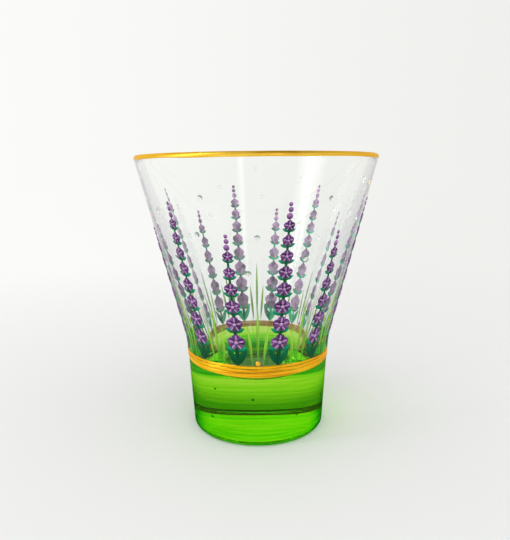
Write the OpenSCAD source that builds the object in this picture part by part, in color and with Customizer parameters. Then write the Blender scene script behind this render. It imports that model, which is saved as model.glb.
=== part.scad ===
// Painted drinking glass: a heavy-based, flared tumbler of clear glass.
// A transparent green coat covers the wall of the solid base, with a gold band
// above it and gold over the lip. A ring of upright flower sprigs in raised
// enamel grows from the band. Millimetres, +Z up, origin at the centre of the foot.

/* [Glass outside] */
// Height from the table to the top of the lip
glass_h = 100; // [98:0.5:106]
// Outer diameter over the lip
lip_d = 86; // [84:0.5:90]
// Thickness of the wall at its round lip
lip_wall = 2.4; // [2:0.1:3]
// Height at which the heavy base meets the flared wall
waist_z = 34.6; // [34:0.2:36]
// Diameter at which the lines of base and flared wall meet
waist_d = 53; // [52:0.2:54.6]
// Radius that blends the base into the flared wall
waist_r = 35; // [28:1:42]
// Diameter of the base at the table
foot_d = 48.6; // [47:0.2:50]
// Rounding of the bottom edge
foot_edge_r = 1.5; // [1:0.1:1.8]
// Width of the flat ring that the glass stands on
foot_ring_w = 3; // [2:0.1:5]
// Depth of the recess under the base
recess_h = 0.4; // [0.2:0.1:0.8]

/* [Glass inside] */
// Thickness of the solid base, from the table to the inside floor
floor_z = 21; // [18:0.5:23]
// Rounding between the inside floor and the inside wall
bowl_r = 12; // [9:0.5:13]
// Inside diameter at the height below
bore_d = 40; // [36:0.5:41]
// Height at which the inside diameter is taken
bore_z = 38; // [37:0.5:42]

/* [Green coat on the base] */
// Height of the lower edge of the coat
coat_z = 0.5; // [0.4:0.1:2]
// Thickness of the coat
coat_t = 0.15; // [0.1:0.05:0.3]
// Height of the pooled rim of paint along the lower edge
pool_h = 0.8; // [0.4:0.1:1.5]
// Thickness of the pooled rim
pool_t = 0.3; // [0.2:0.05:0.4]

/* [Gold] */
// Height of the lower edge of the gold band
band_z = 26; // [25:0.1:26.4]
// Height of the lower brush stroke of the band
lower_stroke_h = 1.6; // [1:0.1:1.8]
// Height of the middle brush stroke
middle_stroke_h = 1.3; // [0.8:0.1:1.5]
// Height of the upper brush stroke
upper_stroke_h = 1.1; // [0.6:0.1:1.3]
// Bare glass between two strokes
stroke_gap = 0.1; // [0.05:0.05:0.2]
// Thickness of the gold paint on the band
band_t = 0.3; // [0.2:0.05:0.4]
// Depth of the gold lip, down from the top
gild_h = 2.1; // [1.8:0.1:3]
// Thickness of the gold on the lip
gild_t = 0.15; // [0.1:0.05:0.3]
// Number of gold beads above the band
bead_n = 3; // [1:1:6]
// Diameter of a gold bead
bead_d = 1.8; // [1.2:0.1:2]

/* [Flower sprigs] */
// Number of sprigs round the glass, tall and short by turns
sprig_n = 12; // [8:2:12]
// Number of blossoms on a tall sprig
tall_n = 8; // [5:1:8]
// Number of blossoms on a short sprig
short_n = 6; // [3:1:7]
// Height of the lowest blossom
first_z = 38.6; // [38:0.1:40]
// Distance from the lowest blossom to the next
first_step = 6.6; // [6.4:0.1:7]
// What each next distance is shorter by
step_drop = 0.32; // [0.2:0.02:0.34]
// Diameter of the lowest blossom
first_blossom_d = 6.2; // [4.5:0.1:6.4]
// Diameter of the highest blossom
last_blossom_d = 3.4; // [2.4:0.1:4]
// Width of a stem at the band
stem_w = 1.4; // [0.8:0.1:1.6]
// Width of a stem at its tip
stem_tip_w = 0.7; // [0.5:0.1:1]
// Thickness of the enamel
enamel_t = 0.3; // [0.2:0.05:0.4]
// Thickness of the light strokes on top of the petals
light_t = 0.15; // [0.1:0.05:0.25]
// Number of buds at the tip of a sprig
bud_n = 3; // [1:1:3]
// Diameter of the largest bud
bud_d = 2.2; // [1.4:0.1:2.4]

/* [Leaves and grass] */
// Length of a leaf at the foot of a sprig
leaf_l = 7.5; // [5:0.5:8]
// Width of such a leaf
leaf_w = 2.2; // [1.4:0.1:2.6]
// Lean of a leaf away from its stem
leaf_lean = 27; // [15:1:32]
// Length of the middle blade of grass between two sprigs
grass_l = 24; // [14:1:28]
// Width of a blade
grass_w = 1; // [0.6:0.1:1.2]
// Distance between the blades at the band
grass_gap = 1.8; // [1.5:0.1:2]
// Lean of the outer blades
grass_lean = 5; // [2:1:6]

/* [Clear drops] */
// Diameter of a raised drop
drop_d = 1.9; // [1.2:0.1:2.2]
// Height of the lowest drop
drop_z = 63; // [60:1:66]
// Height of the highest drop
drop_top_z = 93; // [88:0.5:94]

/* [Hidden] */
$fn = 96;

// Clearance between two paints that lie side by side
paint_gap = 0.05;
// What a cutting shape runs past what it cuts
overrun = 1;

// Petals and cups, as shares of the blossom's radius
petal_n = 5;
petal_share = 0.4;
middle_share = 0.45;
light_tip_share = 0.86;
light_root_share = 0.34;
heart_share = 0.2;
cup_seat_share = 1;
cup_length_share = 1.3;
cup_width_share = 0.5;
cup_lean = 62;
// Buds: each next one is smaller by this share
bud_taper_share = 0.18;
// Short blades, as a share of the long ones, and how high a bead or drop stands
short_grass_share = 0.68;
bead_rise_share = 0.36;
// Where the drops lie: how far each steps up the wall, and off the gap's middle
drop_rise_share = 0.382;
drop_side_share = 0.16;

// Points along each rounding
edge_n = 6;
blend_n = 8;
lip_n = 16;
bowl_n = 12;
leaf_n = 5;
cup_n = 3;

// Lines of the wall: angles from the vertical and outward normals
waist = [waist_d / 2, waist_z];
foot_r = foot_d / 2;
base_a = atan2(waist.x - foot_r, waist.y);
base_out = [cos(base_a), -sin(base_a)];
lip_r = lip_wall / 2;
lip_c = [lip_d / 2 - lip_r, glass_h - lip_r];
flare = lip_c - waist;
flare_a = atan2(flare.x, flare.y) + asin(lip_r / norm(flare));
flare_out = [cos(flare_a), -sin(flare_a)];

// Blend at the waist: where it starts and ends, and its centre
blend_l = waist_r * tan((flare_a - base_a) / 2);
blend_low = waist - blend_l * [sin(base_a), cos(base_a)];
blend_high = waist + blend_l * [sin(flare_a), cos(flare_a)];
blend_c = blend_low + waist_r * base_out;

// Bottom edge, and the recess inside the foot ring
edge_c = [foot_r + foot_edge_r * (tan(base_a) - 1 / cos(base_a)), foot_edge_r];
recess_r = edge_c.x - foot_ring_w;

// Inside wall, from the lip down to the rounded floor
bore = [bore_d / 2, bore_z];
inside = lip_c - bore;
inside_a = atan2(inside.x, inside.y) - asin(lip_r / norm(inside));
bowl_c = [
    bore.x + (floor_z + bowl_r - bore_z) * tan(inside_a) - bowl_r / cos(inside_a),
    floor_z + bowl_r
];

// Band strokes, one above the other
middle_stroke_z = band_z + lower_stroke_h + stroke_gap;
upper_stroke_z = middle_stroke_z + middle_stroke_h + stroke_gap;
band_top_z = upper_stroke_z + upper_stroke_h;

// Enamel starts just above the band and ends below the gold lip
ground_z = band_top_z + paint_gap;
gild_z = glass_h - gild_h;
sprig_a = 360 / sprig_n;
front_a = -90;

function blossom_z(i) = first_z + i * first_step - i * (i - 1) / 2 * step_drop;
function blossom_r(i, n) =
    (first_blossom_d + (last_blossom_d - first_blossom_d) * i / (n - 1)) / 2;
function tip_z(n) = blossom_z(n - 1) + last_blossom_d / 2;
function one_bud_d(j) = bud_d * (1 - bud_taper_share * j);
function bud_z(n, j) =
    tip_z(n) + bud_d * (j - bud_taper_share * j * (j - 1) / 2) + one_bud_d(j) / 2;

function arc_points(c, r, from, to, n) =
    [for (i = [0 : n]) let (a = from + (to - from) * i / n) c + r * [cos(a), sin(a)]];
function backwards(points) = [for (i = [len(points) - 1 : -1 : 0]) points[i]];

// Radius and lean of the outer wall at a height, the wall grown by t
function wall_r(z, t = 0) =
    z < blend_low.y ? foot_r + z * tan(base_a) + t / cos(base_a)
    : z > blend_high.y ? waist.x + (z - waist.y) * tan(flare_a) + t / cos(flare_a)
    : blend_c.x - sqrt((waist_r - t) ^ 2 - (z - blend_c.y) ^ 2);
function wall_a(z) =
    z < blend_low.y ? base_a
    : z > blend_high.y ? flare_a
    : base_a + (flare_a - base_a) * (z - blend_low.y) / (blend_high.y - blend_low.y);
function bore_r(z, t = 0) = bore.x + (z - bore.y) * tan(inside_a) - t / cos(inside_a);

// Outline of the rounded bottom edge, and of the outer wall from there up to a height,
// both grown by t
function edge_points(t) = arc_points(edge_c, foot_edge_r + t, -90, -base_a, edge_n);
function wall_points(t, top_z) = concat(
    edge_points(t),
    arc_points(blend_c, waist_r - t, 180 - base_a, 180 - flare_a, blend_n),
    [[wall_r(top_z, t), top_z]]
);
function lip_points(t) = arc_points(lip_c, lip_r + t, -flare_a, 180 - inside_a, lip_n);

// Half section of a layer on the wall, between two thicknesses and two heights
module layer_section(t0, t1, z0, z1) {
    intersection() {
        polygon(concat(wall_points(t0, gild_z), backwards(wall_points(t1, gild_z))));
        translate([0, z0]) square([lip_d, z1 - z0]);
    }
}

module layer(t0, t1, z0, z1) {
    rotate_extrude() layer_section(t0, t1, z0, z1);
}

// Paints a flat figure on the front of the wall: the figure's y is the height
module painted(t0 = 0, t1 = enamel_t) {
    rotate([0, 0, front_a]) intersection() {
        rotate([0, 0, -sprig_a / 2]) rotate_extrude(angle = sprig_a)
            layer_section(t0, t1, ground_z, gild_z);
        rotate([90, 0, 90]) linear_extrude(lip_d) children();
    }
}

// Pointed leaf that stands on the origin, with n edges on each side
module leaf_figure(l, w, n = leaf_n) {
    arc_r = (l ^ 2 + w ^ 2) / (4 * w);
    bow_a = asin(l / 2 / arc_r);
    right = arc_points([w / 2 - arc_r, l / 2], arc_r, -bow_a, bow_a, n);
    left = arc_points([arc_r - w / 2, l / 2], arc_r, 180 - bow_a, 180 + bow_a, n);
    polygon(concat(right, [for (i = [1 : n - 1]) left[i]]));
}

// Round-petalled blossom seen from the front
module blossom_figure(r) {
    circle(r * middle_share);
    for (p = [0 : petal_n - 1])
        rotate(p * 360 / petal_n) translate([0, r * (1 - petal_share)]) circle(r * petal_share);
}

// Pointed strokes that run from the heart out along each petal
module strokes_figure(r) {
    polygon([for (p = [0 : 2 * petal_n - 1])
        let (a = 90 + p * 180 / petal_n, reach = p % 2 == 0 ? light_tip_share : light_root_share)
            r * reach * [cos(a), sin(a)]]);
}

module blossom_figures(n, grow = 0) {
    for (i = [0 : n - 1])
        translate([0, blossom_z(i)]) blossom_figure(blossom_r(i, n) + grow);
}

module cup_figures(n, grow = 0) {
    for (i = [0 : n - 1]) {
        r = blossom_r(i, n);
        for (side = [-1, 1])
            translate([0, blossom_z(i) - r * cup_seat_share]) rotate(side * cup_lean)
                translate([0, -grow])
                    leaf_figure(r * cup_length_share + 2 * grow,
                        r * cup_width_share + 2 * grow, cup_n);
    }
}

module stem_figure(n, grow = 0) {
    polygon([
        [-stem_w / 2 - grow, ground_z - overrun],
        [stem_w / 2 + grow, ground_z - overrun],
        [stem_tip_w / 2 + grow, tip_z(n)],
        [-stem_tip_w / 2 - grow, tip_z(n)]
    ]);
}

// Copies a painted figure to every tall sprig, or to every short one
module each_sprig(tall) {
    for (k = [tall ? 0 : 1 : 2 : sprig_n - 1])
        rotate([0, 0, (k + 1 / 2) * sprig_a]) children();
}

// Copies a painted figure to every gap between two sprigs
module each_gap() {
    for (k = [0 : sprig_n - 1])
        rotate([0, 0, k * sprig_a]) children();
}

// The glass itself, one pressed piece with a solid base
module glass_body() {
    color([0.86, 0.92, 0.9, 0.5]) rotate_extrude() polygon(concat(
        [[0, recess_h], [recess_r - recess_h, recess_h], [recess_r, 0]],
        edge_points(0),
        arc_points(blend_c, waist_r, 180 - base_a, 180 - flare_a, blend_n),
        lip_points(0),
        arc_points(bowl_c, bowl_r, -inside_a, -90, bowl_n),
        [[0, floor_z]]
    ));
}

// Transparent green paint on the wall of the base, up under the gold band
module base_green_coat() {
    color("limegreen") layer(0, coat_t, coat_z + pool_h, middle_stroke_z + middle_stroke_h);
}

// Darker rim where that paint pooled along its lower edge
module base_coat_pooled_rim() {
    color("forestgreen") layer(0, pool_t, coat_z, coat_z + pool_h);
}

// The two lower strokes of the band lie on the coat, the upper one on bare glass
module gold_band_lower_stroke() {
    color("gold") layer(coat_t, coat_t + band_t, band_z, band_z + lower_stroke_h);
}

module gold_band_middle_stroke() {
    color("goldenrod")
        layer(coat_t, coat_t + band_t, middle_stroke_z, middle_stroke_z + middle_stroke_h);
}

module gold_band_upper_stroke() {
    color("gold") layer(0, band_t, upper_stroke_z, band_top_z);
}

// Round-topped bead or drop that stands on the wall
module bead_on_wall(d, angle, z) {
    h = d * bead_rise_share;
    cap_r = (d ^ 2 / 4 + h ^ 2) / (2 * h);
    rotate([0, 0, front_a + angle]) translate([wall_r(z), 0, z]) rotate([0, 90 + wall_a(z), 0])
        intersection() {
            translate([0, 0, h - cap_r]) sphere(cap_r);
            cylinder(h = 2 * h, r = d);
        }
}

module gold_beads() {
    color("gold") for (k = [0 : bead_n - 1])
        bead_on_wall(bead_d, k * 360 / bead_n, band_top_z + bead_d / 2 + paint_gap);
}

// Gold over the lip, inside and out
module lip_gilding() {
    color("gold") rotate_extrude() polygon(concat(
        [[wall_r(gild_z, gild_t), gild_z]],
        lip_points(gild_t),
        [[bore_r(gild_z, gild_t), gild_z], [bore_r(gild_z), gild_z]],
        backwards(lip_points(0)),
        [[wall_r(gild_z), gild_z]]
    ));
}

module sprig_stem(n) {
    color("darkgreen") painted() difference() {
        stem_figure(n);
        blossom_figures(n, paint_gap);
        cup_figures(n, paint_gap);
    }
}

module tall_sprig_stems() {
    each_sprig(true) sprig_stem(tall_n);
}

module short_sprig_stems() {
    each_sprig(false) sprig_stem(short_n);
}

// Pair of leaves at the foot of each sprig
module foot_leaves(n) {
    color("seagreen") painted() difference() {
        for (side = [-1, 1])
            translate([0, ground_z]) rotate(side * leaf_lean) leaf_figure(leaf_l, leaf_w);
        stem_figure(n, paint_gap);
        cup_figures(n, paint_gap);
        blossom_figures(n, paint_gap);
    }
}

module sprig_foot_leaves() {
    each_sprig(true) foot_leaves(tall_n);
    each_sprig(false) foot_leaves(short_n);
}

// Green cup of two small leaves under each blossom
module cups(n) {
    color("teal") painted() difference() {
        cup_figures(n);
        blossom_figures(n, paint_gap);
    }
}

module blossom_cups() {
    each_sprig(true) cups(tall_n);
    each_sprig(false) cups(short_n);
}

module tall_sprig_blossoms() {
    color("rebeccapurple") each_sprig(true) painted() blossom_figures(tall_n);
}

module short_sprig_blossoms() {
    color("rebeccapurple") each_sprig(false) painted() blossom_figures(short_n);
}

// Light strokes laid over the dark petals, with room for the heart
module light_strokes(n) {
    color("mediumpurple") painted(enamel_t, enamel_t + light_t)
        for (i = [0 : n - 1])
            translate([0, blossom_z(i)]) difference() {
                strokes_figure(blossom_r(i, n));
                circle(blossom_r(i, n) * heart_share + paint_gap);
            }
}

module blossom_light_strokes() {
    each_sprig(true) light_strokes(tall_n);
    each_sprig(false) light_strokes(short_n);
}

module hearts(n) {
    color("thistle") painted(enamel_t, enamel_t + light_t)
        for (i = [0 : n - 1])
            translate([0, blossom_z(i)]) circle(blossom_r(i, n) * heart_share);
}

module blossom_hearts() {
    each_sprig(true) hearts(tall_n);
    each_sprig(false) hearts(short_n);
}

module buds(n) {
    color("orchid") painted()
        for (j = [0 : bud_n - 1])
            translate([0, bud_z(n, j)]) circle((one_bud_d(j) - paint_gap) / 2);
}

module tip_buds() {
    each_sprig(true) buds(tall_n);
    each_sprig(false) buds(short_n);
}

module long_grass_blades() {
    color("yellowgreen") each_gap() painted()
        translate([0, ground_z]) leaf_figure(grass_l, grass_w);
}

module short_grass_blades() {
    color("olivedrab") each_gap() painted()
        for (side = [-1, 1])
            translate([side * grass_gap, ground_z]) rotate(-side * grass_lean)
                leaf_figure(grass_l * short_grass_share, grass_w);
}

// Scattered drops of clear relief paint, two in each gap between sprigs
module clear_drops() {
    color("lightcyan") for (k = [0 : 2 * sprig_n - 1]) {
        rise = (k * drop_rise_share) % 1;
        side = (k % 3 - 1) * drop_side_share;
        bead_on_wall(drop_d, (floor(k / 2) + side) * sprig_a,
            drop_z + (drop_top_z - drop_z) * rise);
    }
}

glass_body();
base_green_coat();
base_coat_pooled_rim();
gold_band_lower_stroke();
gold_band_middle_stroke();
gold_band_upper_stroke();
gold_beads();
lip_gilding();
tall_sprig_stems();
short_sprig_stems();
sprig_foot_leaves();
blossom_cups();
tall_sprig_blossoms();
short_sprig_blossoms();
blossom_light_strokes();
blossom_hearts();
tip_buds();
long_grass_blades();
short_grass_blades();
clear_drops();
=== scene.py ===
"""Painted glass tumbler: the dressed model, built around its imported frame."""
import math
import random

import bmesh
import bpy
from bpy.props import FloatProperty, FloatVectorProperty, IntProperty, PointerProperty
from mathutils import Matrix, Vector, noise


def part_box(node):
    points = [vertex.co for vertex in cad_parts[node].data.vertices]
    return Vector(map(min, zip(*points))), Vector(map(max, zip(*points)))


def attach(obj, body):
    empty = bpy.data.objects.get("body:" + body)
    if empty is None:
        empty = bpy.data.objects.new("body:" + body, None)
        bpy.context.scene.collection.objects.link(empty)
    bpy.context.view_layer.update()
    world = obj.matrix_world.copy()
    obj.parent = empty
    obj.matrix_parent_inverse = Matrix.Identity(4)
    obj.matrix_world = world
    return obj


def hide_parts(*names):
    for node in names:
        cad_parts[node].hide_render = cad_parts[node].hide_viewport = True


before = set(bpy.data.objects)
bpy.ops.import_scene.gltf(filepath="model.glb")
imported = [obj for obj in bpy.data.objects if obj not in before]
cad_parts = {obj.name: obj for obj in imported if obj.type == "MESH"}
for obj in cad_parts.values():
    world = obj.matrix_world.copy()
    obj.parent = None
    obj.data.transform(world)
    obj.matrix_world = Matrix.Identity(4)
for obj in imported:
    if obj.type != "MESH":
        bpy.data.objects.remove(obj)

bl_info = {
    "name": "Painted Glass Tumbler",
    "version": (1, 0, 0),
    "blender": (4, 5, 0),
    "location": "View3D > Sidebar > Tumbler",
    "description": "Builds a flared glass tumbler with its paint, and the stage it stands on",
    "category": "Add Mesh",
}

BODY = "root"
GLASS_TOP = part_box("glass_body")[1][2]
MM = 0.001
TURN = 2 * math.pi
SUNK = 0.04 * MM         # how far paint reaches into the glass, so that no gap shows


def length(name, description, default):
    """Property for a length, given in millimetres."""
    return FloatProperty(name=name, description=description, default=default * MM, min=0,
                         unit="LENGTH", precision=5)


def angle(name, description, default):
    """Property for an angle, given in degrees."""
    return FloatProperty(name=name, description=description, default=math.radians(default),
                         unit="ROTATION")


def count(name, description, default):
    return IntProperty(name=name, description=description, default=default, min=1)


def share(name, description, default, highest=1.0):
    return FloatProperty(name=name, description=description, default=default, min=0, max=highest)


def colour(name, description, *default):
    return FloatVectorProperty(name=name, description=description, default=default,
                               subtype="COLOR", size=3, min=0, max=1)


# Settings

class GlassSettings(bpy.types.PropertyGroup):
    """Sizes and tint of the glass itself."""
    height: length("Height", "From the table to the top of the lip", GLASS_TOP / MM)
    lip_diameter: length("Lip diameter", "Outer diameter over the lip", 86)
    lip_wall: length("Lip wall", "Thickness of the wall at its round lip", 2.4)
    waist_height: length("Waist height", "Where the base meets the flared wall", 34.6)
    waist_diameter: length("Waist diameter", "Where the lines of both walls meet", 53)
    waist_radius: length("Waist radius", "Blend between the base and the flared wall", 35)
    foot_diameter: length("Foot diameter", "Diameter of the base at the table", 48.6)
    foot_edge: length("Foot edge", "Rounding of the bottom edge", 2.0)
    foot_ring: length("Foot ring", "Width of the flat ring under the base", 3)
    recess: length("Recess", "Depth of the recess under the base", 0.4)
    floor_height: length("Floor height", "Thickness of the solid base", 21)
    bowl_radius: length("Bowl radius", "Rounding inside, between floor and wall", 12)
    bore_diameter: length("Bore diameter", "Inside diameter at the bore height", 40)
    bore_height: length("Bore height", "Where the bore diameter is taken", 38)
    tint: colour("Tint", "Colour of clear glass", 0.985, 0.995, 0.985)
    # Painted reflection: greens on the inside floor that stand in for the coat it mirrors
    painted_bowl_reflection: colour("Bowl tint", "Green that the inside floor mirrors", 0.42, 0.66, 0.3)
    painted_bowl_green: colour("Bowl depth", "Green seen down through the inside floor", 0.18, 0.48, 0.1)
    # Painted shade: dark green in the glass at the bottom edge, for the contact shadow seen
    # through it
    foot_shade_tint: colour("Foot tint", "Green that ran round the bottom edge", 0.03, 0.42, 0.03)
    steps: count("Steps", "Steps of the glass round its axis", 256)


class BaseCoatSettings(bpy.types.PropertyGroup):
    """Transparent green paint on the wall of the base."""
    low: length("Lower edge", "Height of the coat's lower edge", 0.5)
    thickness: length("Thickness", "Thickness of the coat", 0.04)
    sink: length("Sink", "How far the coat's inner face lies inside the glass", 0.02)
    pool_height: length("Pool height", "Height of the darker pooled rim", 0.8)
    thick: colour("Thick paint", "What each face of thick paint lets through", 0.549, 0.9, 0.12)
    murk: colour("Murk", "What each face of very thick paint lets through", 0.28, 0.76, 0.4)
    thin: share("Thin paint", "How much paint is left at the band, as a share", 0.28)
    pooled: share("Pooled paint", "Least paint of the pooled rim, as a share", 0.9, 4.0)
    uneven: share("Uneven paint", "How much more paint the brush left in its marks", 0.9)
    edge_on: share("Edge on", "How much deeper the paint looks edge on", 1.6, 4.0)
    # Painted shade: how much deeper the coat and pooled rim are made at the back, for the shadowed
    # table seen through the base
    behind: share("Behind", "How much thicker the coat is at the back", 2.4, 4.0)


class GoldSettings(bpy.types.PropertyGroup):
    """Gold paint of the band, the beads and the lip."""
    band_low: length("Band", "Height of the band's lower edge", 26)
    lower_stroke: length("Lower stroke", "Height of the lower brush stroke", 1.6)
    middle_stroke: length("Middle stroke", "Height of the middle brush stroke", 1.3)
    upper_stroke: length("Upper stroke", "Height of the upper brush stroke", 1.1)
    stroke_gap: length("Stroke gap", "Bare glass between two strokes", 0.1)
    thickness: length("Thickness", "Thickness of the paint on the band", 0.3)
    narrow: share("Narrower behind", "How much narrower the band gets at the back", 0.45)
    gild_depth: length("Gilding depth", "Depth of the gold lip outside, from the top", 1.7)
    gild_inside: length("Gilding inside", "Depth of the gold lip inside, from the top", 1.3)
    gild_thickness: length("Gilding thickness", "Thickness of the gold on the lip", 0.05)
    beads: count("Beads", "Number of raised beads above the band", 3)
    bead_diameter: length("Bead diameter", "Diameter of a raised bead", 1.8)
    body: colour("Gold", "Main colour of the band's gold", 0.96, 0.48, 0.008)
    bright: colour("Bright gold", "Gold where the paint is smooth", 1.0, 0.64, 0.03)
    deep: colour("Deep gold", "Gold between the bristle marks", 0.62, 0.25, 0.004)
    lip: colour("Lip gold", "Main colour of the gold lip", 0.86, 0.5, 0.04)
    lip_bright: colour("Bright lip gold", "Smooth gold of the lip", 1.0, 0.72, 0.1)
    lip_deep: colour("Deep lip gold", "Deeper gold of the lip", 0.6, 0.3, 0.015)
    back: colour("Back of the gold", "Gold seen through the glass", 0.6, 0.3, 0.03)


class SprigSettings(bpy.types.PropertyGroup):
    """Layout and colours of the flower sprigs."""
    sprigs: count("Sprigs", "Number of sprigs, tall and short by turns", 12)
    tall_blossoms: count("Tall blossoms", "Blossoms on a tall sprig", 8)
    short_blossoms: count("Short blossoms", "Blossoms on a short sprig", 6)
    first_height: length("First height", "Height of the lowest blossom", 38.6)
    first_step: length("First step", "From the lowest blossom to the next", 6.6)
    step_drop: length("Step drop", "What each next step is shorter by", 0.32)
    first_blossom: length("First blossom", "Diameter of the lowest blossom", 6.7)
    last_blossom: length("Last blossom", "Diameter of the highest blossom", 3.8)
    petals: count("Petals", "Petals of a blossom", 5)
    stem_width: length("Stem width", "Width of a stem at the band", 1.4)
    stem_tip_width: length("Stem tip", "Width of a stem at its tip", 0.7)
    enamel: length("Enamel", "Thickness of the enamel", 0.3)
    light_stroke: length("Light stroke", "Thickness of the strokes on the petals", 0.15)
    buds: count("Buds", "Buds at the tip of a sprig", 3)
    bud_diameter: length("Bud diameter", "Diameter of the largest bud", 2.2)
    purple_deep: colour("Deep purple", "Roots of the petals", 0.022, 0.006, 0.038)
    purple: colour("Purple", "Tips of the petals", 0.112, 0.034, 0.155)
    lilac: colour("Lilac", "Light strokes on the petals", 0.41, 0.2, 0.44)
    pale: colour("Pale lilac", "Hearts of the blossoms", 0.6, 0.4, 0.64)
    green_deep: colour("Dark green", "Stems and shaded leaves", 0.001, 0.05, 0.016)
    green: colour("Emerald", "Leaves and cups", 0.001, 0.105, 0.032)
    mint: colour("Mint", "Light streaks in the greens", 0.006, 0.3, 0.14)
    back_purple: colour("Back of the purple", "Purple seen through the glass", 0.5, 0.3, 0.54)
    back_green: colour("Back of the green", "Green seen through the glass", 0.02, 0.46, 0.26)


class LeafSettings(bpy.types.PropertyGroup):
    """Leaves at the foot of the sprigs, and the grass between them."""
    leaf_length: length("Leaf length", "Length of a leaf", 7.5)
    leaf_width: length("Leaf width", "Width of a leaf", 2.2)
    leaf_lean: angle("Leaf lean", "Lean of a leaf away from its stem", 27)
    grass_length: length("Grass length", "Length of the middle blade", 24)
    grass_width: length("Grass width", "Width of a blade", 1)
    grass_gap: length("Grass gap", "From one blade to the next at the band", 1.8)
    grass_lean: angle("Grass lean", "Lean of the outer blades", 5)
    short_share: share("Short blades", "Length of the outer blades", 0.68)
    grass: colour("Grass", "Light green of the blades", 0.36, 0.68, 0.07)
    grass_deep: colour("Deep grass", "Green at the foot of the blades", 0.12, 0.42, 0.03)


class DropSettings(bpy.types.PropertyGroup):
    """Scattered clear drops of relief paint."""
    diameter: length("Diameter", "Diameter of a drop", 1.9)
    low: length("Lowest", "Height of the lowest drop", 63)
    high: length("Highest", "Height of the highest drop", 93)
    tint: colour("Tint", "Colour of the clear relief paint", 0.97, 0.98, 0.98)


class StageSettings(bpy.types.PropertyGroup):
    """Floor, backdrop, lamps and camera."""
    floor: colour("Floor", "Colour of the floor", 0.85, 0.845, 0.828)
    shaded: colour("Shaded floor", "Floor at the foot, seen through the base", 0.3, 0.38, 0.3)
    mirrored: colour("Mirrored floor", "Floor as the glass mirrors it", 0.2, 0.2, 0.2)
    backdrop: colour("Backdrop", "Colour of the backdrop's bright side", 0.965, 0.97, 0.945)
    backdrop_dim: colour("Dim backdrop", "Colour of the backdrop's dim side", 0.87, 0.87, 0.85)
    sky: colour("Sky", "Colour of the daylight", 0.98, 0.99, 1.0)
    overhead: share("Overhead", "How bright the glass mirrors the room overhead", 0.4)
    glow: share("Window glow", "How much brighter the glass mirrors a wide window", 1.5, 4.0)
    daylight: share("Daylight", "Strength of the light all round", 0.55, 4.0)
    daylight_side: share("Daylight from the side", "Further light from the front", 0.85, 4.0)
    window: FloatProperty(name="Window", description="Power of the window lamp",
                          default=2.6, min=0, unit="POWER")


SETTINGS = {
    "tumbler_glass": GlassSettings,
    "tumbler_coat": BaseCoatSettings,
    "tumbler_gold": GoldSettings,
    "tumbler_sprigs": SprigSettings,
    "tumbler_leaves": LeafSettings,
    "tumbler_drops": DropSettings,
    "tumbler_stage": StageSettings,
}


# The wall that everything is painted on

def polar(distance, turn):
    return Vector((distance * math.cos(turn), distance * math.sin(turn)))


def arc(centre, radius, start, end, steps):
    """Points along an arc of the half section."""
    return [centre + polar(radius, start + (end - start) * i / steps) for i in range(steps + 1)]


def straight(start, end, steps):
    """Points between two points of the half section, without the ends."""
    return [start.lerp(end, i / steps) for i in range(1, steps)]


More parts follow.
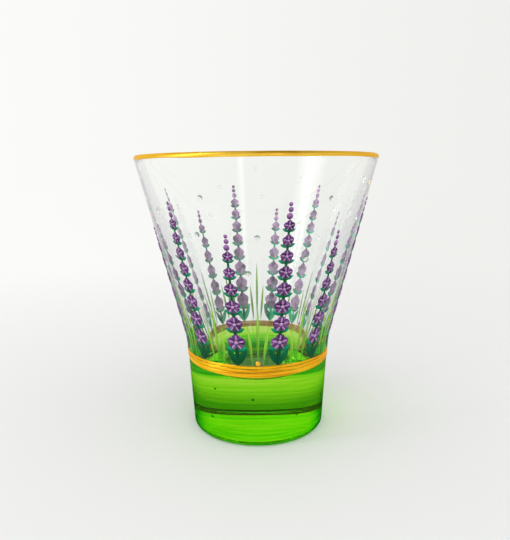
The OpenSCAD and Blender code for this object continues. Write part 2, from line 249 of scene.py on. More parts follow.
class Wall:
    """Half section of the glass, worked out from its sizes as the frame's is."""

    # Steps along each stretch of the outline
    under_steps, edge_steps, base_steps, waist_steps = 6, 12, 24, 20
    flare_steps, lip_steps, bowl_steps = 40, 24, 28

    def __init__(self, glass):
        self.glass = glass
        self.waist = Vector((glass.waist_diameter / 2, glass.waist_height))
        self.foot_r = glass.foot_diameter / 2
        self.base_a = math.atan2(self.waist.x - self.foot_r, self.waist.y)
        self.lip_r = glass.lip_wall / 2
        self.lip = Vector((glass.lip_diameter / 2 - self.lip_r, glass.height - self.lip_r))
        flare = self.lip - self.waist
        self.flare_a = math.atan2(flare.x, flare.y) + math.asin(self.lip_r / flare.length)
        reach = glass.waist_radius * math.tan((self.flare_a - self.base_a) / 2)
        self.blend_low = self.waist - reach * polar(1, math.pi / 2 - self.base_a)
        self.blend_high = self.waist + reach * polar(1, math.pi / 2 - self.flare_a)
        self.blend = self.blend_low + glass.waist_radius * polar(1, -self.base_a)
        inset = glass.foot_edge * (1 / math.cos(self.base_a) - math.tan(self.base_a))
        self.edge = Vector((self.foot_r - inset, glass.foot_edge))
        self.bore = Vector((glass.bore_diameter / 2, glass.bore_height))
        inside = self.lip - self.bore
        self.inside_a = math.atan2(inside.x, inside.y) - math.asin(self.lip_r / inside.length)
        bowl_z = glass.floor_height + glass.bowl_radius
        self.bowl = Vector((self.bore.x + (bowl_z - self.bore.y) * math.tan(self.inside_a)
                            - glass.bowl_radius / math.cos(self.inside_a), bowl_z))

    def radius(self, z, out=0.0):
        """Radius of the outer wall at a height, the wall grown by out."""
        if z < self.blend_low.y:
            return self.foot_r + z * math.tan(self.base_a) + out / math.cos(self.base_a)
        if z > self.blend_high.y:
            run = (z - self.waist.y) * math.tan(self.flare_a)
            return self.waist.x + run + out / math.cos(self.flare_a)
        across = (self.glass.waist_radius - out) ** 2 - (z - self.blend.y) ** 2
        return self.blend.x - math.sqrt(across)

    def lean(self, z):
        """Lean of the outer wall from upright at a height."""
        way = (z - self.blend_low.y) / (self.blend_high.y - self.blend_low.y)
        return self.base_a + (self.flare_a - self.base_a) * min(max(way, 0), 1)

    def outline(self):
        """Half section of the whole glass, from under the base to the inside floor."""
        glass = self.glass
        recess_r = self.edge.x - glass.foot_ring
        under = [Vector((0, glass.recess)), Vector((recess_r - glass.recess, glass.recess)),
                 Vector((recess_r, 0))]
        edge = arc(self.edge, glass.foot_edge, -math.pi / 2, -self.base_a, self.edge_steps)
        blend = arc(self.blend, glass.waist_radius, math.pi - self.base_a,
                    math.pi - self.flare_a, self.waist_steps)
        lip = arc(self.lip, self.lip_r, -self.flare_a, math.pi - self.inside_a, self.lip_steps)
        bowl = arc(self.bowl, glass.bowl_radius, -self.inside_a, -math.pi / 2, self.bowl_steps)
        centre = Vector((0, glass.floor_height))
        points = under[:1] + straight(under[0], under[1], self.under_steps) + under[1:] + edge
        points += straight(edge[-1], blend[0], self.base_steps) + blend
        points += straight(blend[-1], lip[0], self.flare_steps) + lip
        points += straight(lip[-1], bowl[0], self.flare_steps) + bowl
        return points + straight(bowl[-1], centre, self.under_steps) + [centre]


def wall():
    return Wall(bpy.context.scene.tumbler_glass)


# Meshes

SAME_PLACE = 0.0001 * MM
SAME_DAB = 0.002 * MM
SHARP = math.radians(40)


def spun(bm, verts, edges, steps):
    """Turns a half section right round the axis."""
    bmesh.ops.spin(bm, geom=verts + edges, cent=(0, 0, 0), axis=(0, 0, 1), dvec=(0, 0, 0),
                   angle=TURN, steps=steps, use_merge=True, use_duplicate=False)


def turned(points, steps, closed=False):
    """Mesh of a half section turned round the axis."""
    bm = bmesh.new()
    verts = [bm.verts.new((point[0], 0, point[1])) for point in points]
    edges = [bm.edges.new(pair) for pair in zip(verts, verts[1:])]
    if closed:
        edges.append(bm.edges.new((verts[-1], verts[0])))
    spun(bm, verts, edges, steps)
    bmesh.ops.remove_doubles(bm, verts=bm.verts, dist=SAME_PLACE)
    bmesh.ops.recalc_face_normals(bm, faces=bm.faces)
    return bm


def finished(name, bm, materials, slot, *nodes):
    """Makes a piece of the mesh, in place of its nodes of the frame."""
    for face in bm.faces:
        face.smooth = True
    for edge in bm.edges:
        edge.smooth = edge.calc_face_angle(0) < SHARP
    mesh = bpy.data.meshes.new(name)
    bm.to_mesh(mesh)
    bm.free()
    for material in materials:
        mesh.materials.append(material)
    piece = bpy.data.objects.new(name, mesh)
    bpy.context.scene.collection.objects.link(piece)
    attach(piece, BODY)
    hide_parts(*nodes)


class Dab:
    """One touch of the brush, as a low dome: where it goes and how it swells."""

    # How steeply the dome rises from the ends of a dab
    end_slope = 2.2

    def __init__(self, place, size, thickness, half, rows=5, columns=4, rise=0.0,
                 groove=0.0, bend=0.0, under=SUNK):
        self.place = place
        self.size = size
        self.thickness = thickness
        self.half = half
        self.rows = rows
        self.columns = columns
        self.rise = rise
        self.groove = groove
        self.bend = bend
        self.under = under

    def point(self, across, along, is_top):
        """Where a point of the dab lies on the flat figure."""
        half = self.half(along)
        height = -self.under
        if is_top:
            dome = math.sqrt(max(0.0, 1 - across ** 2)) * min(1.0, half * self.end_slope)
            crease = 1 - self.groove * (1 - abs(across)) ** 2
            height = self.rise + self.thickness * dome * crease
        sideways = across * half * self.size[0] / 2 + self.bend * along ** 2
        return self.place @ Vector((sideways, along * self.size[1], height))


def add_dab(bm, dab, number):
    """Adds a dab to a flat mesh: x runs along the wall, y is the height, z stands out."""
    layer = bm.verts.layers.float_vector["stroke"]
    grid = bmesh.ops.create_grid(bm, x_segments=dab.columns, y_segments=dab.rows, size=1)
    top = grid["verts"]
    for vert in top:
        vert[layer] = (vert.co.x, (vert.co.y + 1) / 2, number)
    faces = list({face for vert in top for face in vert.link_faces})
    lower = bmesh.ops.extrude_face_region(bm, geom=faces)["geom"]
    lower = [item for item in lower if isinstance(item, bmesh.types.BMVert)]
    for verts, is_top in ((top, True), (lower, False)):
        for vert in verts:
            vert.co = dab.point(vert[layer].x, vert[layer].y, is_top)
    beneath = set(lower)
    for face in {face for vert in lower for face in vert.link_faces}:
        if beneath.issuperset(face.verts):
            face.material_index = 1
    return top + lower


def round_half(along):
    """Half width of a round dab, as a share of its largest."""
    return math.sqrt(max(0.0, 1 - (2 * along - 1) ** 2))


def petal_half(along):
    """Half width of a petal: narrow at its root, round at its end."""
    return math.sin(math.pi * along ** 1.35) ** 0.62


def leaf_half(along):
    """Half width of a leaf, pointed at both ends."""
    return math.sin(math.pi * along) ** 0.9


def stroke_half(along):
    """Half width of a stroke that starts full and is drawn out to a point."""
    return min(1.0, 6 * along) ** 0.5 * (1 - along) ** 0.7


def flat_place(x, y, turn=0.0):
    """Place of a dab on the flat figure, turned from upright."""
    return Matrix.Translation((x, y, 0)) @ Matrix.Rotation(turn, 4, "Z")


def wrap(verts, shape, turn):
    """Lays a flat figure on the wall, at a turn from the front."""
    spin = Matrix.Rotation(turn - math.pi / 2, 3, "Z")
    for vert in verts:
        x, y, z = vert.co
        radius = shape.radius(y, z)
        vert.co = spin @ Vector((math.sqrt(max(0.0, radius ** 2 - x ** 2)), x, y))


def paint(name, groups, materials, slot, node_name):
    """Paints groups of dabs, each group at its turn round the wall."""
    shape = wall()
    bm = bmesh.new()
    bm.verts.layers.float_vector.new("stroke")
    dabs_at = [(turn, dab) for turn, dabs in groups for dab in dabs]
    for number, (turn, dab) in enumerate(dabs_at, 1):
        wrap(add_dab(bm, dab, number), shape, turn)
    bmesh.ops.remove_doubles(bm, verts=bm.verts, dist=SAME_DAB)
    bmesh.ops.recalc_face_normals(bm, faces=bm.faces)
    finished(name, bm, materials, slot, node_name)


# Where the sprigs and their blossoms stand

SPRIG_KINDS = ((True, "tall"), (False, "short"))


def sprig_turns(tall):
    """Turns of the tall or the short sprigs from the front."""
    sprigs = bpy.context.scene.tumbler_sprigs.sprigs
    return [(k + 0.5) * TURN / sprigs for k in range(0 if tall else 1, sprigs, 2)]


def blossom_rows(tall):
    """Height and radius of each blossom of a sprig."""
    sprigs = bpy.context.scene.tumbler_sprigs
    rows = sprigs.tall_blossoms if tall else sprigs.short_blossoms
    result = []
    for i in range(rows):
        z = sprigs.first_height + i * sprigs.first_step - i * (i - 1) / 2 * sprigs.step_drop
        way = i / (rows - 1)
        diameter = sprigs.first_blossom + (sprigs.last_blossom - sprigs.first_blossom) * way
        result.append((z, diameter / 2))
    return result


def tip_height(tall):
    return blossom_rows(tall)[-1][0] + bpy.context.scene.tumbler_sprigs.last_blossom / 2


def band_top():
    gold = bpy.context.scene.tumbler_gold
    return (gold.band_low + gold.lower_stroke + gold.middle_stroke + gold.upper_stroke
            + 2 * gold.stroke_gap)


# Materials

GLASS_IOR = 1.5
BRISTLES = "Bristle marks"
PAINTED = "Painted dab"
BACKDROP = "Backdrop tone"

# Scales of the bristle marks: across a dab, along it and from dab to dab
STREAK_GRAIN = (3.4, 1.3, 7.31)
COVER_GRAIN = (2.2, 1.6, 5.17)

# Scales of the bristle marks on the glass and the coat, on X, Y and Z
GLASS_GRAIN = (26, 26, 900)
COAT_GRAIN = (30, 30, 1100)
POOL_GRAIN = (80, 80, 400)

# Light that has met this many faces inside the glass is let out of it
LONG_WAY = 7.5
LAMP_TINT = (0.97, 0.98, 0.97)
DROP_LAMP_TINT = (0.85, 0.86, 0.86)

# Heights where the bowl's painted green, standing in for the reflected coat, starts and is full,
# above the inside floor
BOWL_PAINTED_GREEN = (7 * MM, 1.5 * MM)

# Heights on the base where each change of the coat starts and is full
THICKENING = (27 * MM, -3 * MM)
# Heights where the painted shade near the foot, an extra depth of coat, starts and is full
FOOT_COAT_SHADE = (6 * MM, 0.5 * MM)
# Heights of the painted shade at the back of the base: where it starts, and where it fades
SHADE_BAND_START = (13 * MM, 17 * MM)
SHADE_BAND_END = (27 * MM, 22 * MM)
EDGE_ON_LOW = (18 * MM, 8 * MM)

# Distances behind the axis where the painted shade at the back, a deeper coat and pooled rim,
# starts and is full
COAT_SHADE_BEHIND = (5 * MM, 20 * MM)
POOL_SHADE_BEHIND = (-10 * MM, 10 * MM)

# Facing of a film seen edge on, share of its depth that lamps are spared, and its gloss
EDGE_ON = (0.45, 0.95)
LAMP_LOSS = 0.7
FILM_GLOSS = 0.01

# Specks in the coat: their scale, the edge of each and how much deeper they are
SPECK_SCALE = 130.0
SPECK_EDGE = (0.05, 0.08)
SPECK_DEPTH = 5.0


def connect(tree, socket, value):
    """Links an output to a socket, or sets a plain value on it."""
    if isinstance(value, bpy.types.NodeSocket):
        tree.links.new(value, socket)
    elif hasattr(socket.default_value, "__len__") and len(socket.default_value) == 4:
        socket.default_value = (*value[:3], 1)
    else:
        socket.default_value = value


def give(tree, made, inputs):
    """Gives a node its inputs, by name or place."""
    for key, value in inputs.items():
        connect(tree, made.inputs[key], value)
    return made


def node(tree, kind, inputs=None, **settings):
    """Adds a node, with its settings and inputs."""
    made = tree.nodes.new(kind)
    for key, value in settings.items():
        setattr(made, key, value)
    return give(tree, made, inputs or {})


def mixed(tree, factor, first, second):
    """Colour between two colours."""
    return node(tree, "ShaderNodeMix", {0: factor, 6: first, 7: second},
                data_type="RGBA").outputs[2]


def maths(tree, operation, *values):
    return node(tree, "ShaderNodeMath", dict(enumerate(values)), operation=operation).outputs[0]


def times(tree, *values):
    return maths(tree, "MULTIPLY", *values)


def times_add(tree, value, factor, added):
    return maths(tree, "MULTIPLY_ADD", value, factor, added)


def vector_maths(tree, operation, *values):
    return node(tree, "ShaderNodeVectorMath", dict(enumerate(values)), operation=operation).outputs


def ranged(tree, value, low, high, to_low=0.0, to_high=1.0):
    """A value stretched from one range to another, and held inside it."""
    return node(tree, "ShaderNodeMapRange",
                {"Value": value, "From Min": low, "From Max": high, "To Min": to_low,
                 "To Max": to_high}, interpolation_type="SMOOTHSTEP").outputs[0]


def axes(tree, vector):
    """X, Y and Z of a vector."""
    return node(tree, "ShaderNodeSeparateXYZ", {0: vector}).outputs


def cloud(tree, vector, scale, detail=2.0, roughness=0.5):
    """Soft noise."""
    return node(tree, "ShaderNodeTexNoise", {"Vector": vector, "Scale": scale, "Detail": detail,
                                             "Roughness": roughness}).outputs[0]


def chance(tree, number):
    """A value from 0 to 1 that differs from number to number."""
    return node(tree, "ShaderNodeTexWhiteNoise", {"W": number},
                noise_dimensions="1D").outputs["Value"]


def bumped(tree, height, strength, distance):
    return node(tree, "ShaderNodeBump", {"Height": height, "Strength": strength,
                                         "Distance": distance}).outputs[0]


def group(name, inputs, outputs):
    """New shader node group with named sockets: its tree, what it is given and its output."""
    tree = bpy.data.node_groups.new(name, "ShaderNodeTree")
    for way, sockets in (("INPUT", inputs), ("OUTPUT", outputs)):
        for socket, kind in sockets.items():
            tree.interface.new_socket(name=socket, in_out=way, socket_type="NodeSocket" + kind)
    return tree, tree.nodes.new("NodeGroupInput").outputs, tree.nodes.new("NodeGroupOutput")


def use_group(tree, name, inputs):
    return node(tree, "ShaderNodeGroup", inputs, node_tree=bpy.data.node_groups[name]).outputs


def bristles(tree, vector, scale, contrast):
    """Marks of a brush on a material, coarse and fine."""
    return use_group(tree, BRISTLES, {"Vector": vector, "Scale": scale, "Contrast": contrast})


def bristle_group():
    """Long marks of a brush, drawn out along the axes with the small scales."""
    tree, given, put_out = group(
        BRISTLES, {"Vector": "Vector", "Scale": "Vector", "Contrast": "Float"},
        {"Marks": "Float", "Fine": "Float"})
    scaled = vector_maths(tree, "MULTIPLY", given["Vector"], given["Scale"])[0]
    offset = maths(tree, "SUBTRACT", cloud(tree, scaled, 1.0, 3.0, 0.6), 0.5)
    marks = times_add(tree, offset, given["Contrast"], 0.5)
    give(tree, put_out, {"Marks": node(tree, "ShaderNodeClamp", {"Value": marks}).outputs[0],
                         "Fine": cloud(tree, scaled, 3.1)})


def painted_group():
    """Colour of a dab: root to tip, with bristle streaks and a change from dab to dab."""
    tree, given, put_out = group(
        PAINTED, {"Stroke": "Vector", "Root": "Color", "Tip": "Color", "Streak": "Color",
                  "Amount": "Float", "Variety": "Float"},
        {"Color": "Color", "Roughness": "Float", "Height": "Float"})
    stroke = axes(tree, given["Stroke"])
    marks = bristles(tree, given["Stroke"], STREAK_GRAIN, 3.2)
    fine = marks["Fine"]
    way = times_add(tree, maths(tree, "SUBTRACT", fine, 0.5), 0.6, stroke["Y"])
    body = mixed(tree, ranged(tree, way, 0.05, 0.85), given["Root"], given["Tip"])
    streaks = times(tree, ranged(tree, marks["Marks"], 0.5, 0.95), given["Amount"])
    body = mixed(tree, streaks, body, given["Streak"])
    change = times_add(tree, maths(tree, "SUBTRACT", chance(tree, stroke["Z"]), 0.5),
                       given["Variety"], 1.0)
    varied = node(tree, "ShaderNodeHueSaturation", {"Value": change, "Color": body}).outputs[0]
    give(tree, put_out, {"Color": varied, "Roughness": times_add(tree, fine, 0.25, 0.22),
                         "Height": fine})


def backdrop_group(stage):
    """Tone of the backdrop in a direction: it dims slowly from one side to the other."""
    tree, given, put_out = group(BACKDROP, {"Vector": "Vector"}, {"Color": "Color"})
    way = vector_maths(tree, "NORMALIZE", given["Vector"])[0]
    give(tree, put_out, {"Color": mixed(tree, ranged(tree, axes(tree, way)["X"], -0.5, 0.5),
                                        stage.backdrop, stage.backdrop_dim)})


def prepare_groups(stage):
    """Makes the shared groups once."""
    if BRISTLES not in bpy.data.node_groups:
        bristle_group()
        painted_group()
        backdrop_group(stage)


def new_material(name):
    """New material: its tree, its surface shader and its output."""
    made = bpy.data.materials.new(name)
    made.use_nodes = True
    tree = made.node_tree
    return made, tree, tree.nodes["Principled BSDF"], tree.nodes["Material Output"]


def object_place(tree):
    return node(tree, "ShaderNodeTexCoord").outputs["Object"]


def dab_place(tree):
    """Place on a dab: across it, along it, and the dab's number."""
    return node(tree, "ShaderNodeAttribute", attribute_name="stroke").outputs["Vector"]


def blend(tree, output, factor, first, second):
    """Puts out a blend of two shaders."""
    both = node(tree, "ShaderNodeMixShader", {0: factor, 1: first.outputs[0],
                                              2: second.outputs[0]})
    tree.links.new(both.outputs[0], output.inputs["Surface"])


def enamel(name, root, tip, streak, amount, variety=0.25, cover=1.0):
    """Glossy enamel whose marks follow each dab; cover is how much the thinnest paint hides."""
    made, tree, surface, _ = new_material(name)
    stroke = dab_place(tree)
    dab = use_group(tree, PAINTED, {"Stroke": stroke, "Root": root, "Tip": tip,
                                    "Streak": streak, "Amount": amount, "Variety": variety})
    give(tree, surface, {"Base Color": dab["Color"], "Roughness": dab["Roughness"],
                         "Normal": bumped(tree, dab["Height"], 0.25, 0.1 * MM),
                         "IOR": GLASS_IOR, "Specular IOR Level": 0.07})
    if cover < 1:
        marks = bristles(tree, stroke, COVER_GRAIN, 2.5)["Marks"]
        give(tree, surface, {"Alpha": ranged(tree, marks, 0.1, 0.6, cover, 1.0)})
    return made


def paint_back(name, tone):
    """Flat underside of the paint, as it shows through the glass."""
    made, tree, surface, _ = new_material(name)
    stroke = dab_place(tree)
    streaks = bristles(tree, stroke, STREAK_GRAIN, 2.0)["Marks"]
    clouds = times(tree, cloud(tree, object_place(tree), 700.0), 0.4)
    way = times_add(tree, chance(tree, axes(tree, stroke)["Z"]), 0.5,
                    times_add(tree, streaks, 0.6, clouds))
    lighter = [min(1.0, value * 1.5 + 0.05) for value in tone]
    darker = [value * 0.36 for value in tone]
    give(tree, surface, {"Base Color": mixed(tree, ranged(tree, way, 0.35, 1.1), darker, lighter),
                         "Roughness": 0.6, "Specular IOR Level": 0.2})
    return made


def both_sides(name, tones, amount, back, variety=0.25):
    """Enamel of a kind of dab, and its flat underside."""
    return [enamel(f"{name} enamel", *tones, amount, variety), paint_back(f"{name} back", back)]


def see_through(tree, shader, output, tint, let_out=False):
    """Lets lamps through glass, with a tint, where it would throw a black shadow.

    With let_out, light that has run a long way inside the wall leaves it too.
    """
    light = node(tree, "ShaderNodeLightPath").outputs
    passes = light["Is Shadow Ray"]
    if let_out:
        long_way = maths(tree, "GREATER_THAN", light["Ray Depth"], LONG_WAY)
        passes = maths(tree, "MAXIMUM", passes, long_way)
    clear = node(tree, "ShaderNodeBsdfTransparent", {"Color": tint})
    blend(tree, output, passes, shader, clear)


def clear_glass(name, tint, mirrors=(1, 1, 1), deep=None):
    """Clear pressed glass, very slightly uneven.

    mirrors is the tint of what it mirrors, and deep its tint at the inside floor; on the bowl both
    are a painted reflection of the green coat.
    """
    made, tree, surface, output = new_material(name)
    scene = bpy.context.scene
    coat_low = scene.tumbler_coat.low
    coat_top = scene.tumbler_gold.band_low
    place = object_place(tree)
    z = axes(tree, place)["Z"]
    if deep:
        start, full = (scene.tumbler_glass.floor_height + above for above in BOWL_PAINTED_GREEN)
        tint = mixed(tree, ranged(tree, z, start, full), tint, deep)
    brushed = bristles(tree, place, GLASS_GRAIN, 1.0)["Marks"]
    coated = times(tree, ranged(tree, z, coat_low, coat_low + MM),
                   ranged(tree, z, coat_top, coat_top - MM))
    height = times_add(tree, times(tree, coated, brushed), 0.1, cloud(tree, place, 25.0, 0.0))
    give(tree, surface, {"Base Color": tint, "Specular Tint": mirrors,
                         "Transmission Weight": 1, "Roughness": 0, "IOR": GLASS_IOR,
                         "Normal": bumped(tree, height, 1.0, 0.04 * MM)})
    see_through(tree, surface, output, LAMP_TINT, True)
    return made


def clear_relief(tint):
    """Clear relief paint of the raised drops."""
    made, tree, surface, output = new_material("Clear relief")
    ripple = cloud(tree, object_place(tree), 900.0)
    give(tree, surface, {"Base Color": tint, "Transmission Weight": 1, "Roughness": 0.02,
                         "IOR": GLASS_IOR, "Normal": bumped(tree, ripple, 0.2, 0.05 * MM)})
    see_through(tree, surface, output, DROP_LAMP_TINT)
    return made


def film(tree, surface, output, amount):
    """Makes a material a see-through film of paint: the more of it, the deeper."""
    coat = bpy.context.scene.tumbler_coat
    z = axes(tree, object_place(tree))["Z"]
    facing = node(tree, "ShaderNodeLayerWeight", {"Blend": 0.5}).outputs["Facing"]
    edge_on = times(tree, ranged(tree, facing, *EDGE_ON),
                    ranged(tree, z, *EDGE_ON_LOW, 0.3 * coat.edge_on, coat.edge_on))
    depth = times_add(tree, amount, edge_on, amount)
    shadow = node(tree, "ShaderNodeLightPath").outputs["Is Shadow Ray"]
    depth = times(tree, depth, times_add(tree, shadow, -LAMP_LOSS, 1.0))
    tone = node(tree, "ShaderNodeGamma", {"Color": coat.thick, "Gamma": depth}).outputs[0]
    over = maths(tree, "MAXIMUM", maths(tree, "SUBTRACT", depth, 1.0), 0.0)
    murk = node(tree, "ShaderNodeGamma", {"Color": coat.murk, "Gamma": over}).outputs[0]
    tone = vector_maths(tree, "MULTIPLY", tone, murk)[0]
    give(tree, surface, {"Base Color": coat.thick, "Roughness": 0.15})
    clear = node(tree, "ShaderNodeBsdfTransparent", {"Color": tone})
    blend(tree, output, FILM_GLOSS, clear, surface)


def green_coat():
    """Transparent green paint, brushed round the base and thinner toward its top; deeper near the
    foot and at the back, as painted shade.
    """
    made, tree, surface, output = new_material("Green coat")
    coat = bpy.context.scene.tumbler_coat
    place = object_place(tree)
    at = axes(tree, place)
    z = at["Z"]
    marks = bristles(tree, place, COAT_GRAIN, 2.0)["Marks"]
    # Thinner toward the top; the extra depth near the foot is painted shade
    depth = maths(tree, "ADD", ranged(tree, z, *THICKENING, coat.thin, 1.0),
                  ranged(tree, z, *FOOT_COAT_SHADE, 0.0, 0.25))
    # Painted shade: the coat is made deeper at the back between these heights
    shade_band = times(tree, ranged(tree, z, *SHADE_BAND_START), ranged(tree, z, *SHADE_BAND_END, 0.3, 1.25))
    behind = ranged(tree, at["Y"], *COAT_SHADE_BEHIND, 0.0, coat.behind)
    depth = times_add(tree, shade_band, times(tree, behind, depth), depth)
    uneven = times_add(tree, marks, coat.uneven, 1 - coat.uneven / 2)
    speck = node(tree, "ShaderNodeTexVoronoi", {"Vector": place, "Scale": SPECK_SCALE})
    dots = ranged(tree, speck.outputs["Distance"], *SPECK_EDGE, SPECK_DEPTH, 1.0)
    film(tree, surface, output, times(tree, times(tree, depth, uneven), dots))
    return made


def pooled_paint():
    """Darker transparent rim where the coat ran together; deeper at the back, as painted shade."""
    made, tree, surface, output = new_material("Pooled green coat")
    coat = bpy.context.scene.tumbler_coat
    place = object_place(tree)
    marks = bristles(tree, place, POOL_GRAIN, 2.0)["Marks"]
    # Painted shade: the pooled rim is made deeper at the back
    behind = ranged(tree, axes(tree, place)["Y"], *POOL_SHADE_BEHIND, coat.pooled,
                    coat.pooled + coat.behind)
    film(tree, surface, output, times_add(tree, marks, coat.uneven, behind))
    return made


def gold_paint(name, cover, fine, tones, varnish=0.15):
    """Brushed gold paint; where cover is low, the glass shows between the marks."""
    made, tree, surface, _ = new_material(name)
    deep, main, bright = tones
    place = object_place(tree)
    brushed = bristles(tree, place, (55, 55, fine), 2.6)
    marks = brushed["Marks"]
    patches = cloud(tree, place, 90.0)
    body = mixed(tree, ranged(tree, marks, 0.0, 0.55), deep, main)
    body = mixed(tree, ranged(tree, marks, 0.6, 1.0, 0.0, 0.8), body, bright)
    body = mixed(tree, ranged(tree, patches, 0.5, 0.75, 0.0, 0.5), body, bright)
    give(tree, surface, {"Base Color": body, "Metallic": 0.9, "Coat Weight": varnish,
                         "Coat Roughness": 0.06, "Specular Tint": bright,
                         "Roughness": times_add(tree, brushed["Fine"], 0.3, 0.18),
                         "Normal": bumped(tree, marks, 0.35, 0.08 * MM)})
    if cover < 1:
        thin = times_add(tree, patches, 0.5, marks)
        give(tree, surface, {"Alpha": ranged(tree, thin, 0.35, 0.8, cover, 1.0)})
    return made


# Operators

class BuildOperator:
    """What all the building operators share."""
    bl_options = {"REGISTER", "UNDO"}

    def execute(self, context):
        prepare_groups(context.scene.tumbler_stage)
        self.build(context.scene)
        return {"FINISHED"}


class TUMBLER_OT_glass(BuildOperator, bpy.types.Operator):
    """Build the clear glass with its solid base"""
    bl_idname = "tumbler.glass"
    bl_label = "Glass"

    # How far up its rounding the bowl has its painted green reflection
    green_share = 0.6

    def build(self, scene):
        glass = scene.tumbler_glass
        bm = turned(wall().outline(), glass.steps)
        bowl_top = glass.floor_height + self.green_share * glass.bowl_radius
        ring_r = glass.foot_diameter / 2 - glass.foot_ring
        for face in bm.faces:
            middle = face.calc_center_median()
            across = math.hypot(middle.x, middle.y)
            if glass.floor_height - MM < middle.z < bowl_top and across < glass.bore_diameter / 2:
                face.material_index = 1
            # Faces at the bottom edge take the painted shade of the foot
            elif middle.z < scene.tumbler_coat.low and across > ring_r:
                face.material_index = 2
        materials = [clear_glass("Clear glass", glass.tint),
                     clear_glass("Bowl glass", glass.tint, glass.painted_bowl_reflection, glass.painted_bowl_green),
                     clear_glass("Foot glass", glass.foot_shade_tint)]
        finished("clear_glass", bm, materials, "clear_glass", "glass_body")


def wall_line(shape, low, high, out, rows):
    """Line beside the outer wall, from the rounded bottom edge up, grown by out."""
    edge_r = shape.glass.foot_edge + out
    edge_top = shape.edge.y - edge_r * math.sin(shape.base_a)
    points = []
    if low < edge_top:
        start = math.asin(max(-1.0, (low - shape.edge.y) / edge_r))
        end = math.asin(min(1.0, (min(high, edge_top) - shape.edge.y) / edge_r))
        points = arc(shape.edge, edge_r, start, end, 8)
    if high > edge_top:
        first = max(low, edge_top)
        heights = [first + (high - first) * i / rows for i in range(rows + 1)]
        points += [Vector((shape.radius(z, out), z)) for z in heights[bool(points):]]
    return points


class TUMBLER_OT_base_coat(BuildOperator, bpy.types.Operator):
    """Build the transparent green coat and its pooled rim"""
    bl_idname = "tumbler.base_coat"
    bl_label = "Green coat"

    # Open line between the pooled rim and the coat, and steps of both round the glass
    joint = 0.02 * MM
    steps = 192

    def build(self, scene):
        coat = scene.tumbler_coat
        gold = scene.tumbler_gold
        pool_top = coat.low + coat.pool_height
        top = gold.band_low + gold.lower_stroke + gold.stroke_gap + gold.middle_stroke
        finished("green_coat", self.ring(coat, pool_top, top, 30), [green_coat()],
                 "green_coat", "base_green_coat")
        finished("pooled_rim", self.ring(coat, coat.low, pool_top - self.joint, 3),
                 [pooled_paint()], "green_coat_pooled", "base_coat_pooled_rim")

    def ring(self, coat, low, high, rows):
        """Closed ring of the coat between two heights, just inside and outside the wall."""
        shape = wall()
        points = wall_line(shape, low, high, coat.thickness - coat.sink, rows)
        points += reversed(wall_line(shape, low, high, -coat.sink, rows))
        return turned(points, self.steps, closed=True)


def sway(turn, seed, pace=2.0):
    """Slow change round the glass that meets itself, from about -1 to 1."""
    return 2 * noise.noise((pace * math.cos(turn), pace * math.sin(turn), seed * 3.7))


def wall_matrix(shape, turn, z):
    """Place on the wall whose own Z stands out from it."""
    spin = Matrix.Rotation(turn - math.pi / 2, 4, "Z")
    out = Matrix.Translation((shape.radius(z), 0, z))
    return spin @ out @ Matrix.Rotation(math.pi / 2 + shape.lean(z), 4, "Y")


CAP_RISE = 0.36
CAP_SUNK = 0.06 * MM


def add_cap(bm, matrix, diameter):
    """Adds a low round cap whose foot is sunk just inside the wall's face."""
    made = bmesh.ops.create_uvsphere(bm, u_segments=20, v_segments=10, radius=1)
    for vert in made["verts"]:
        up = vert.co.z
        vert.co.z = up * diameter * CAP_RISE if up >= -0.01 else -CAP_SUNK
        vert.co.xy = vert.co.xy * diameter / 2
    bmesh.ops.transform(bm, matrix=matrix, verts=made["verts"])


